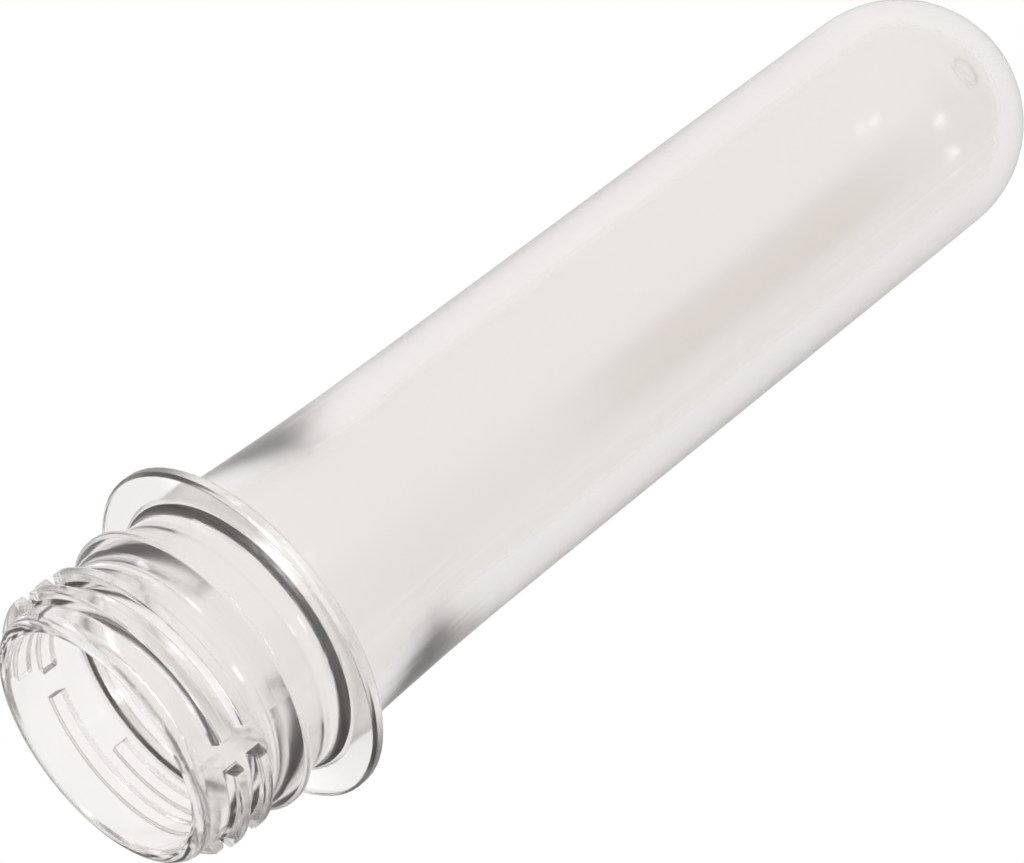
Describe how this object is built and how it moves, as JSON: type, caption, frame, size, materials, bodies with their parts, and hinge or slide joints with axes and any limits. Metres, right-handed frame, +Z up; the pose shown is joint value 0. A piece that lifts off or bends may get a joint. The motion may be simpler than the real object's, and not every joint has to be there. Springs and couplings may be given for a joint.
{
  "type": "bottle preform",
  "caption": "Clear moulded tube with a threaded neck, a support ring and a closed round end, ready to be blown into a bottle.",
  "frame": {"origin": "middle of the mouth rim, in the plane of the sealing surface that it stands on", "axes": "+Z up the tube towards the gate at the closed end; +X through the middle of one thread vent"},
  "size_m": [0.033, 0.033, 0.1194],
  "materials": {
    "clear_plastic": "clear, glossy PET with a faint warm haze"
  },
  "bodies": {
    "root": {"preform": "clear_plastic"}
  },
  "joints": []
}
